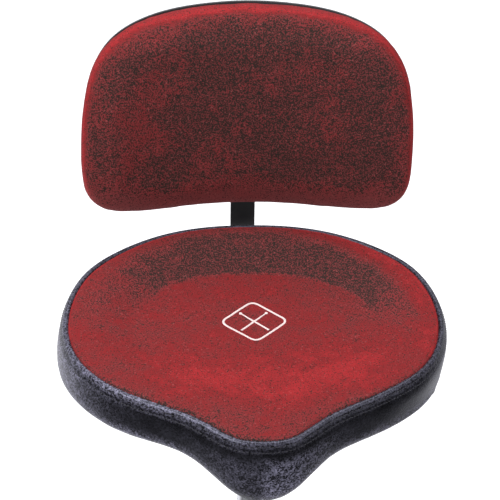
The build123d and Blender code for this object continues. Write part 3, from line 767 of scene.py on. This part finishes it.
def build_staples():
    """Staples that hold the hem to the board's underside."""
    length, radius, steps, inset = 9.0, 0.45, 46, 12.5
    frames = []
    verts, faces = capsule(length, radius)
    for k in range(steps):
        i = int((k + 0.3) / steps * COUNT)
        if SEAM[i][1] < -120:  # none under the nose
            continue
        xy = SEAM[i] - SEAM_N[i] * inset
        n, t = SEAM_N[i], np.array([-SEAM_N[i][1], SEAM_N[i][0]])
        turn = 0.25 * noise.noise(Vector((k * 1.7, 0, 0)))
        x = np.array([*(t * math.cos(turn) + n * math.sin(turn)), 0.0])
        y = np.array([-x[1], x[0], 0.0])
        frames.append(np.stack([x, -y, np.array([0, 0, -1.0]), np.array([*xy, SEAT_Z - 57.8])], 1))
    obj = scatter("seat_hem_staples", frames, verts, faces)
    dress(obj, "zinc_steel", "seat")


def on_velour(surface, points):
    """Points of a plan drawing dropped on to the velour."""
    out = []
    for x, y in points:
        hit = surface.ray_cast(Vector((x * MM, y * MM, (SEAT_Z + 40) * MM)), Vector((0, 0, -1)))
        out.append((x, y, hit[0].z / MM))
    return np.array(out)


def build_emblem(top):
    """Embroidered lozenge with two crossed sticks, as satin-stitch ribbons on the velour."""
    deps = bpy.context.evaluated_depsgraph_get()
    surface = BVHTree.FromObject(top.evaluated_get(deps), deps)
    lines = []
    half_x, half_y, corner, mid_y = 38.0, 37.0, 10.0, 8.0
    corners = [(half_x, mid_y), (0, mid_y + half_y), (-half_x, mid_y), (0, mid_y - half_y)]
    loop = []
    for i, c in enumerate(corners):
        p, q = corners[i - 1], corners[(i + 1) % 4]
        c, p, q = np.array(c, float), np.array(p, float), np.array(q, float)
        a = c + (p - c) / np.linalg.norm(p - c) * corner
        b = c + (q - c) / np.linalg.norm(q - c) * corner
        for t in np.linspace(0, 1, 9):
            loop.append((1 - t) ** 2 * a + 2 * t * (1 - t) * c + t * t * b)
    loop.append(loop[0])
    lines.append((np.array(loop), lambda t: 1.35))
    for side in (-1, 1):
        foot, tip = np.array([-15.5 * side, mid_y - 16.0]), np.array([15.5 * side, mid_y + 16.0])
        along = np.array([foot + (tip - foot) * t for t in np.linspace(0, 1, 60)])

        def half_width(t, side=side):
            bead = 1.5 * math.exp(-(((t - 0.965) / 0.03) ** 2))
            return 1.25 - 0.55 * max(0.0, (t - 0.55) / 0.45) + bead

        lines.append((along, half_width))
    verts, faces = [], []
    thread_step = 0.45
    across = [(-1.0, -0.25), (-0.8, 0.35), (-0.35, 0.62), (0.35, 0.62), (0.8, 0.35), (1.0, -0.25)]
    for number, (line, half_width) in enumerate(lines):
        run = np.concatenate([[0], np.cumsum(np.linalg.norm(np.diff(line, axis=0), axis=1))])
        count = int(run[-1] / thread_step)
        at = np.linspace(0, run[-1], count)
        path = np.stack([np.interp(at, run, line[:, k]) for k in (0, 1)], 1)
        tangent = np.gradient(path, axis=0)
        tangent /= np.linalg.norm(tangent, axis=1)[:, None]
        side = np.stack([-tangent[:, 1], tangent[:, 0]], 1)
        width = np.array([half_width(t) for t in np.linspace(0, 1, count)])
        width += 0.12 * np.where(np.arange(count) % 2, 1, -1)
        base = len(verts)
        for k, (s, lift) in enumerate(across):
            pts = on_velour(surface, path + side * (width * s)[:, None])
            ridge = 0.07 * np.where(np.arange(count) % 2, 1, -1) if 0 < k < 5 else 0.0
            over = 0.5 if number == 2 and abs(s) < 1 else 0.0  # the second stick crosses on top
            pts[:, 2] += lift + ridge + over * np.exp(-((np.linspace(-1, 1, count) / 0.12) ** 2))
            verts += list(pts)
        for k in range(len(across) - 1):
            for i in range(count - 1):
                a, b = base + k * count + i, base + (k + 1) * count + i
                faces.append((a, a + 1, b + 1, b))
    obj = mesh_object("seat_embroidered_emblem", np.array(verts) * MM, faces)
    dress(obj, "velour", "seat", PALE_THREAD)


# ---------------------------------------------------------------- back pad

LEAN = Matrix.Rotation(math.radians(-BACK_LEAN), 4, "X")
BACK_FRAME = Matrix.Translation(Vector(BACK_AT) * MM) @ LEAN


def bend_pad(x, z, depth):
    """From the pad's flat outline and a depth behind its front to the leaning frame."""
    y = PAD_AXIS_Y + np.sqrt((PAD_FRONT_R + depth) ** 2 - x**2)
    return np.stack([x, y, z + PAD_Z], -1)


def pad_painted_sheen(obj, outline):
    """Painted sheen and light: redder along the pad's edges, most along the top, in a patch on the
    left and along the bottom; painted shade in a patch on the right.
    """
    co = np.array([v.co for v in obj.data.vertices]) / MM
    flat = co[:, [0, 2]] - np.array([0.0, PAD_Z])
    gap = np.concatenate([
        np.linalg.norm(part[:, None] - outline[None, ::3], axis=2).min(1)
        for part in np.array_split(flat, 24)
    ])
    high = step(flat[:, 1], 120, 225)
    rim = (0.03 + 0.15 * high) * np.exp(-((gap / (16.0 + 11.0 * high)) ** 1.6))
    left = 0.08 * np.exp(-(((flat[:, 0] + 120.0) / 45.0) ** 2) - ((flat[:, 1] - 150.0) / 60.0) ** 2)
    low = 0.05 * np.exp(-((flat[:, 1] / 30.0) ** 2))
    shaded = 0.03 * np.exp(-(((flat[:, 0] - 90.0) / 70.0) ** 2) - ((flat[:, 1] - 75.0) / 45.0) ** 2)
    return rim + left + low - shaded


def build_back_pad():
    count, power = 420, 2.5
    outline, normal, _ = closed_spline(PAD, count)
    rows = []
    reach = np.linalg.norm(outline - PAD_MID, axis=1)
    for s in np.linspace(0.05, 1, 52):
        inset = reach * (1 - s)
        near = np.clip(inset / PAD_CROWN, 0, 1)
        depth = PAD_ROUND * (1 - (1 - (1 - near) ** power) ** (1 / power)) + 1.6 * s**3 * (near >= 1)
        rows.append((PAD_MID + (outline - PAD_MID) * s, depth))
    for d in (PAD_ROUND + 3.5, PAD_ROUND + 7.5, PAD_ROUND + 11.5, PAD_ROUND + 14.5):
        rows.append((outline + normal * 0.4 * math.sin((d - PAD_ROUND) / 15 * math.pi), d))
    rows.append((outline - normal * 1.2, PAD_DEPTH - 0.8))
    rows.append((outline - normal * 4.0, PAD_DEPTH))
    for s in (0.8, 0.55, 0.3, 0.06):
        rows.append((PAD_MID + (outline - PAD_MID) * s, PAD_DEPTH))
    pts = [bend_pad(xz[:, 0], xz[:, 1], np.zeros(count) + d) for xz, d in rows]
    front = bend_pad(np.array([PAD_MID[0]]), np.array([PAD_MID[1]]), np.array([0.0]))
    rear = bend_pad(np.array([PAD_MID[0]]), np.array([PAD_MID[1]]), np.array([PAD_DEPTH]))
    verts = np.vstack([front, *pts, rear])
    faces = ring_faces(len(rows), count, True)
    last = 1 + (len(rows) - 1) * count
    for i in range(count):
        faces.append((last + i, len(verts) - 1, last + (i + 1) % count))
    obj = mesh_object("back_velour_pad", verts * MM, faces)
    bm = bmesh.new()
    bm.from_mesh(obj.data)
    bmesh.ops.recalc_face_normals(bm, faces=bm.faces)
    bm.to_mesh(obj.data)
    bm.free()
    simulate(obj, 2.5, 3.0, stiffness=25.0, bending=2.0, voxel=5.0)
    co = np.array([v.co for v in obj.data.vertices]) / MM
    nm = np.array([v.normal for v in obj.data.vertices])
    # Flat against the rear shell, and a little uneven everywhere else.
    limit = PAD_AXIS_Y + np.sqrt(np.maximum((PAD_FRONT_R + PAD_DEPTH) ** 2 - co[:, 0] ** 2, 0))
    behind = co[:, 1] > limit
    co[behind, 1] = limit[behind]
    soft = step(limit - co[:, 1], 4, 14)
    shift = 0.8 * wobble(co, 52.0, 21.0) + 0.35 * wobble(co, 18.0, 9.0)
    co += nm * (shift * soft)[:, None]
    obj.data.vertices.foreach_set("co", (co * MM).ravel())
    obj.data.update()
    subdivide(obj)
    sheen_pattern = pad_painted_sheen(obj, outline)
    obj.data.transform(BACK_FRAME)
    obj.data.update()
    set_painted_sheen(obj, sheen_pattern)
    dress(obj, "velour", "back")
    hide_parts("back_front_cover", "back_foam", "back_board")


build_vinyl_wall()
top = build_velour_top()
build_stitches()
build_staples()
build_emblem(top)
build_back_pad()

# ---------------------------------------------------------------- stage, light and camera


def stage_floor():
    m = Nodes("pale_floor")
    m.set(Emission_Color=(1.0, 1.0, 1.0, 1.0), Emission_Strength=0.28, Specular_IOR_Level=0.2)
    tone = m.noise(260.0, 3.0, 0.5)
    m.colour(m.ramp(tone, [(0.2, (0.86, 0.86, 0.87)), (0.8, (0.90, 0.90, 0.90))]))
    m.rough(m.remap(tone, 0.2, 0.8, 0.85, 0.95))
    radius, sides, below = 3.6, 96, -0.0004
    turn = np.linspace(0, 2 * math.pi, sides + 1)[:-1]
    ring = [(math.cos(a) * radius, math.sin(a) * radius, below) for a in turn]
    obj = mesh_object("floor", ring, [tuple(range(sides))])
    obj.data.materials.append(m.mat)
    obj.visible_glossy = False


def stage_backdrop():
    """White studio wall all round, beyond the floor's edge, that only the camera sees."""
    m = Nodes("white_backdrop")
    m.set(Emission_Color=(1.0, 1.0, 1.0, 1.0), Emission_Strength=0.93, Specular_IOR_Level=0.0)
    tone = m.noise(900.0, 2.0, 0.5)
    m.colour(m.ramp(tone, [(0.2, (0.08, 0.08, 0.08)), (0.8, (0.10, 0.10, 0.10))]))
    m.rough(m.remap(tone, 0.2, 0.8, 0.9, 1.0))
    count, levels, radius, ring = 64, 32, 14.0, []
    for up in np.linspace(-0.5 * math.pi, 0.5 * math.pi, levels + 2)[1:-1]:
        for a in np.linspace(0, 2 * math.pi, count, endpoint=False):
            flat = math.cos(up) * radius
            ring.append((flat * math.cos(a), flat * math.sin(a), radius * math.sin(up)))
    faces = ring_faces(levels, count)
    faces += [tuple(range((levels - 1) * count, levels * count)), tuple(range(count))]
    obj = mesh_object("backdrop", ring, faces)
    obj.data.materials.append(m.mat)
    obj.visible_diffuse = obj.visible_glossy = False
    obj.visible_shadow = obj.visible_transmission = False


def world():
    """Studio surround: dark round the front horizon, grey below, bright above; pale behind."""
    made = bpy.data.worlds.new("studio")
    made.use_nodes = True
    tree = made.node_tree
    tree.nodes.clear()
    out = tree.nodes.new("ShaderNodeOutputWorld")
    shade = tree.nodes.new("ShaderNodeBackground")
    coord = tree.nodes.new("ShaderNodeTexCoord")
    split = tree.nodes.new("ShaderNodeSeparateXYZ")
    tree.links.new(coord.outputs["Generated"], split.inputs[0])

    def graded(axis, stops):
        remap = tree.nodes.new("ShaderNodeMapRange")
        remap.inputs["From Min"].default_value = -1.0
        ramp = tree.nodes.new("ShaderNodeValToRGB")
        elements = ramp.color_ramp.elements
        while len(elements) < len(stops):
            elements.new(0.5)
        for element, (at, v) in zip(elements, stops):
            element.position = at
            element.color = (v, v, v * 1.03, 1.0)
        tree.links.new(split.outputs[axis], remap.inputs["Value"])
        tree.links.new(remap.outputs[0], ramp.inputs[0])
        return ramp.outputs[0]

    def mixed(kind, fac, a, b):
        made = tree.nodes.new("ShaderNodeMix")
        made.data_type, made.blend_type = "RGBA", kind
        if isinstance(fac, float):
            made.inputs[0].default_value = fac
        else:
            tree.links.new(fac, made.inputs[0])
        tree.links.new(a, made.inputs[6])
        tree.links.new(b, made.inputs[7])
        return made.outputs[2]

    front = graded(2, [(0.0, 0.50), (0.14, 0.26), (0.22, 0.15), (0.30, 0.02), (0.38, 0.005),
                       (0.58, 0.005), (0.70, 0.35), (0.83, 0.90), (1.0, 1.0)])
    rear = graded(2, [(0.0, 0.9), (0.40, 1.0), (0.60, 0.85), (1.0, 1.0)])
    sweep = graded(1, [(0.42, 0.0), (0.66, 1.0)])
    across = graded(0, [(0.0, 0.8), (0.22, 1.0), (0.50, 0.75), (1.0, 0.5)])
    round_about = mixed("MIX", sweep, front, rear)
    tree.links.new(mixed("MULTIPLY", 1.0, round_about, across), shade.inputs[0])
    tree.links.new(shade.outputs[0], out.inputs[0])
    shade.inputs["Strength"].default_value = 1.15
    bpy.context.scene.world = made


def area(name, place, aim, size, watts):
    data = bpy.data.lights.new(name, "AREA")
    data.shape = "RECTANGLE"
    data.size, data.size_y = size
    data.energy = watts
    obj = bpy.data.objects.new(name, data)
    obj.location = place
    obj.rotation_euler = (Vector(aim) - Vector(place)).to_track_quat("-Z", "Y").to_euler()
    bpy.context.scene.collection.objects.link(obj)


def camera():
    """The photograph's view: 117 mm lens, from 36.5 degrees above, 4 to the left, rolled 1.8."""
    azimuth, elevation, roll = map(math.radians, (-4.2, 36.5, 1.8))
    distance, side_shift, up_shift = 1.8, -0.00535, 0.0782
    level = math.cos(elevation)
    back = Vector((math.sin(azimuth) * level, -math.cos(azimuth) * level, math.sin(elevation)))
    right = Vector((math.cos(azimuth), math.sin(azimuth), 0))
    up = back.cross(right)
    right_r = right * math.cos(roll) + up * math.sin(roll)
    up_r = up * math.cos(roll) - right * math.sin(roll)
    data = bpy.data.cameras.new("camera")
    data.lens, data.sensor_width = 117.0, 36.0
    data.clip_start, data.clip_end = 0.1, 30.0
    obj = bpy.data.objects.new("camera", data)
    spot = Vector((0, 0, SEAT_Z * MM)) + back * distance + right_r * side_shift + up_r * up_shift
    turn = Matrix((right_r, up_r, back)).transposed().to_4x4()
    obj.matrix_world = Matrix.Translation(spot) @ turn
    bpy.context.scene.collection.objects.link(obj)
    bpy.context.scene.camera = obj


stage_floor()
stage_backdrop()
world()
area("key", (-1.3, -0.9, 2.3), (0, 0, 0.55), (1.3, 1.3), 42.0)
area("fill", (1.6, -1.2, 1.7), (0, 0, 0.6), (1.4, 1.4), 12.0)
area("top", (0.1, 0.7, 2.4), (0, 0.1, 0.6), (1.6, 1.2), 22.0)
camera()
bpy.context.scene.view_settings.view_transform = "Standard"
